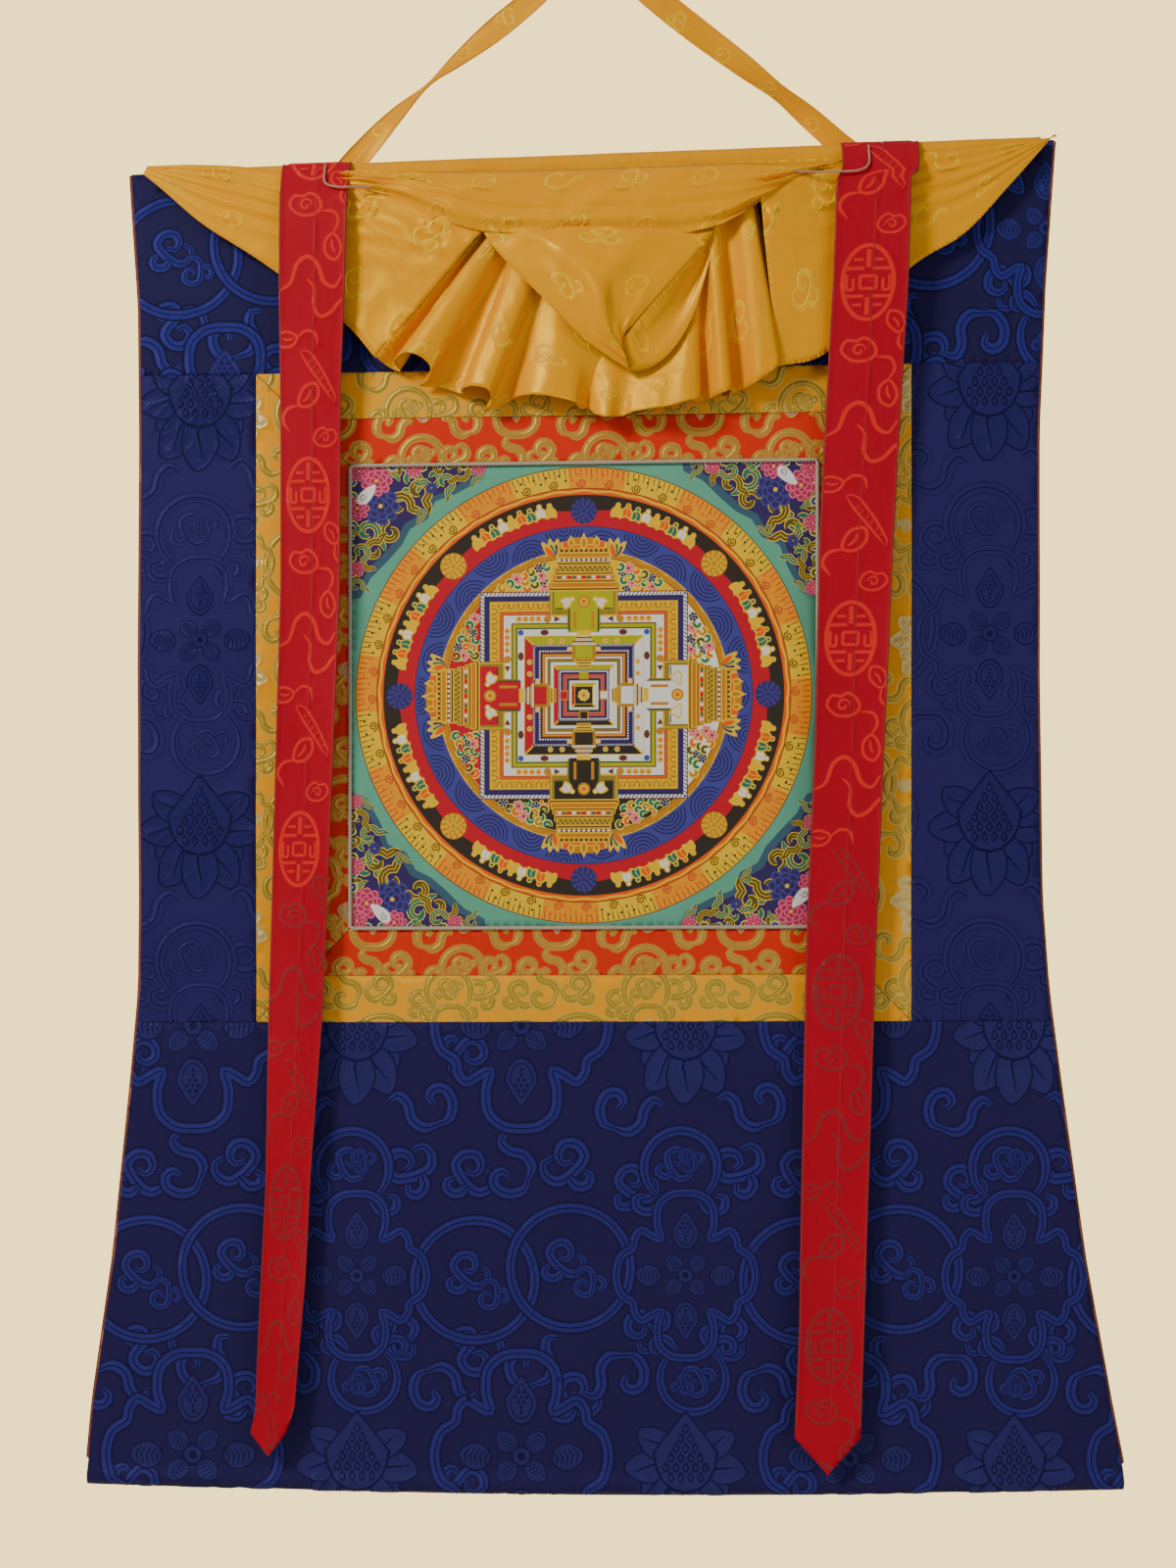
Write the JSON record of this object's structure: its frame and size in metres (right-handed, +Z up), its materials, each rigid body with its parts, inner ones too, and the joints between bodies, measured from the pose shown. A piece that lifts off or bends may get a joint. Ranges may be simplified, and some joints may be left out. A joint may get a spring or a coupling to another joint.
{
  "type": "thangka scroll painting",
  "caption": "Hanging scroll: square painting in red, gold and navy brocade, gathered yellow silk cover, red ribbons and a hanging strap.",
  "frame": {"origin": "the bend of the hanging strap, where a nail or hook holds it", "axes": "+Z up along the height of the scroll, the painted face looks along -Y, +X to the right as seen from the front"},
  "size_m": [0.8494, 0.0534, 1.2659],
  "materials": {
    "blue_brocade": "navy silk brocade, tone-on-tone satin figure on a twill ground",
    "gold_brocade": "orange-gold satin brocade with olive-gold figures",
    "red_brocade": "orange-red satin brocade with bronze-gold figures",
    "painted_cloth": "primed cotton, hand painted in matt colours and gold",
    "piping_cord": "twisted greyish-pink cord",
    "lining_cotton": "salmon-pink plain cotton",
    "yellow_silk": "golden-yellow silk satin with tone-on-tone figures",
    "red_ribbon": "crimson silk brocade ribbon with brighter figures",
    "tie_cord": "pinkish-tan twisted cotton cord"
  },
  "bodies": {
    "root": {"blue_panel_top": "blue_brocade", "blue_panel_left": "blue_brocade", "blue_panel_right": "blue_brocade", "blue_panel_bottom": "blue_brocade", "gold_border_top": "gold_brocade", "gold_border_right": "gold_brocade", "gold_border_bottom": "gold_brocade", "gold_border_left": "gold_brocade", "red_border_top": "red_brocade", "red_border_right": "red_brocade", "red_border_bottom": "red_brocade", "red_border_left": "red_brocade", "painting": "painted_cloth", "painting_piping": "piping_cord", "lining": "lining_cotton", "heading": "yellow_silk", "cover_cloth": "yellow_silk", "hanging_strap": "yellow_silk", "ribbon_left": "red_ribbon", "ribbon_right": "red_ribbon", "tie_cord_left": "tie_cord", "tie_cord_right": "tie_cord"}
  },
  "joints": []
}
